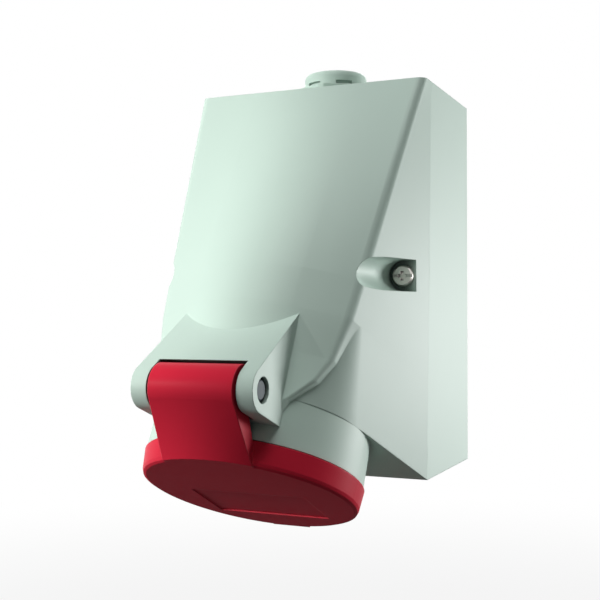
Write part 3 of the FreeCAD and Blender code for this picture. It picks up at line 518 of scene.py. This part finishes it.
@dataclass
class Studio:
    """The pale floor, the soft lamps and the camera at the photograph's angle, in metres."""

    lens_mm: float = 59.893
    sensor_mm: float = 36.0
    yaw_degrees: float = 23.62
    pitch_degrees: float = 0.95
    camera_place: Point = (0.18284, -0.50289, -0.01708)
    camera_near: float = 0.01
    floor_height: float = -0.26
    floor_size: float = 12.0
    floor_colour: Colour = (0.07, 0.07, 0.07)
    floor_roughness: float = 0.9
    shadow_reach: float = 0.35
    white_reach: float = 0.90
    camera_share: float = 0.88
    glossy_share: float = 0.02
    transmission_share: float = 0.5
    soft_light: float = 0.05
    lamps: tuple[Lamp, ...] = (
        Lamp("front_left_pool", place=(-0.75, -1.35, 0.45), aim=(-0.272, -0.10, -0.04),
             size=(0.02, 0.02), power=46.0, shape=LampShape.POOL, cone_degrees=23.0,
             cone_blend=0.16, tint=(1.0, 0.965, 0.945)),
        Lamp("high_front", place=(0.25, -1.0, 3.0), aim=(0.0, -0.07, 0.0),
             size=(2.0, 2.0), power=52.0),
        Lamp("left_level", place=(-0.85, -0.60, 0.10), aim=(0.0, -0.07, -0.05),
             size=(0.3, 0.4), power=5.2),
        Lamp("right_behind", place=(0.90, 1.00, -0.04), aim=(0.05, -0.05, -0.05),
             size=(0.5, 0.32), power=15.0),
        Lamp("behind", place=(-0.60, 1.70, 0.70), aim=(0.0, 0.0, 0.0),
             size=(1.0, 1.0), power=15.0),
    )

    def build(self) -> None:
        """Builds the floor, the backdrop light, the lamps and the camera."""
        self.floor()
        self.world()
        for lamp in self.lamps:
            self.lamp(lamp)
        self.camera()

    def floor(self) -> None:
        """Lays a wide pale floor that looks white to the camera and still takes a shadow."""
        half, height = self.floor_size / 2, self.floor_height
        mesh = bpy.data.meshes.new("floor")
        mesh.from_pydata([(-half, -half, height), (half, -half, height),
                          (half, half, height), (-half, half, height)], [], [(0, 1, 2, 3)])
        floor = bpy.data.objects.new("floor", mesh)
        bpy.context.scene.collection.objects.link(floor)
        material = bpy.data.materials.new("pale_floor")
        material.use_nodes = True
        nodes = material.node_tree.nodes
        tree = ShaderTree(material.node_tree)
        matt = nodes["Principled BSDF"]
        tree.feed(matt, {"Base Color": (*self.floor_colour, 1.0),
                         "Roughness": self.floor_roughness})
        glow = tree.add("ShaderNodeEmission", {"Strength": 1.0})
        clear = tree.add("ShaderNodeBsdfTransparent")
        shown = tree.mix_shaders(self._white_share(tree), matt.outputs["BSDF"],
                                 glow.outputs["Emission"])
        surface = tree.mix_shaders(self._seen_from_below(tree), shown, clear.outputs["BSDF"])
        tree.feed(nodes["Material Output"], {"Surface": surface})
        floor.data.materials.append(material)
        LOG.info("floor laid")

    @staticmethod
    def _seen_from_below(tree: ShaderTree) -> bpy.types.NodeSocket:
        """Makes a mask of the camera rays that meet the floor's underside.

        The floor is clear to them, so a view from below sees past it.

        Args:
            tree: The floor's tree.

        Returns:
            The socket that is 1 on such rays.
        """
        path = tree.add("ShaderNodeLightPath")
        side = tree.add("ShaderNodeNewGeometry")
        return tree.multiply(path.outputs["Is Camera Ray"], side.outputs["Backfacing"])

    def _white_share(self, tree: ShaderTree) -> Feed:
        """Makes the floor's share of plain white for each kind of ray that shows it.

        The share is full far off and less near the object, where the floor takes the shadow.

        Args:
            tree: The floor's tree.

        Returns:
            The socket that carries the share.
        """
        path = tree.add("ShaderNodeLightPath")
        place = tree.add("ShaderNodeTexCoord")
        reach = tree.add("ShaderNodeVectorMath", {0: place.outputs["Object"]}, operation="LENGTH")
        shares = []
        for ray, near in (("Is Camera Ray", self.camera_share),
                          ("Is Glossy Ray", self.glossy_share),
                          ("Is Transmission Ray", self.transmission_share)):
            share = tree.ramp(reach.outputs["Value"], self.shadow_reach, self.white_reach,
                              low=near, slope=Slope.SOFT)
            shares.append(tree.multiply(path.outputs[ray], share))
        return tree.highest(*shares)

    def world(self) -> None:
        """Makes the surroundings white where they are seen and a soft light on the object."""
        world = bpy.data.worlds.new("studio")
        bpy.context.scene.world = world
        world.use_nodes = True
        nodes = world.node_tree.nodes
        tree = ShaderTree(world.node_tree)
        white = (1.0, 1.0, 1.0, 1.0)
        soft = nodes["Background"]
        tree.feed(soft, {"Color": white, "Strength": self.soft_light})
        plain = tree.add("ShaderNodeBackground", {"Color": white, "Strength": 1.0})
        path = tree.add("ShaderNodeLightPath")
        seen = tree.highest(path.outputs["Is Camera Ray"], path.outputs["Is Glossy Ray"],
                            path.outputs["Is Transmission Ray"])
        shown = tree.mix_shaders(seen, soft.outputs["Background"], plain.outputs["Background"])
        tree.feed(nodes["World Output"], {"Surface": shown})

    @staticmethod
    def lamp(lamp: Lamp) -> None:
        """Hangs one soft lamp.

        Args:
            lamp: The lamp's shape, place, aim, size, power and tint.
        """
        light = bpy.data.lights.new(lamp.name, lamp.shape.value)
        light.energy = lamp.power
        light.color = lamp.tint
        if lamp.shape is LampShape.PANEL:
            light.shape = "RECTANGLE"
            light.size, light.size_y = lamp.size
        else:
            light.spot_size = math.radians(lamp.cone_degrees)
            light.spot_blend = lamp.cone_blend
            light.shadow_soft_size = lamp.size[0]
        holder = bpy.data.objects.new(lamp.name, light)
        holder.location = lamp.place
        away = Vector(lamp.place) - Vector(lamp.aim)
        holder.rotation_euler = away.to_track_quat("Z", "Y").to_euler()
        bpy.context.scene.collection.objects.link(holder)

    def camera(self) -> None:
        """Sets the camera where the photograph was taken from."""
        data = bpy.data.cameras.new("camera")
        data.lens = self.lens_mm
        data.sensor_width = self.sensor_mm
        data.clip_start = self.camera_near
        camera = bpy.data.objects.new("camera", data)
        camera.location = self.camera_place
        camera.rotation_euler = (math.radians(90 + self.pitch_degrees), 0.0,
                                 math.radians(self.yaw_degrees))
        bpy.context.scene.collection.objects.link(camera)
        bpy.context.scene.camera = camera
        LOG.info("camera set")


def main() -> None:
    """Builds the studio and dresses the socket's sub-assemblies in order."""
    logging.basicConfig(level=logging.INFO, format="%(message)s")
    bpy.context.scene.view_settings.view_transform = "Standard"
    paint = Paintbox()
    Studio().build()
    for assembly in (Housing(paint), Insert(paint), Lid(paint), CableGland(paint)):
        assembly.build()


if __name__ == "__main__":
    main()
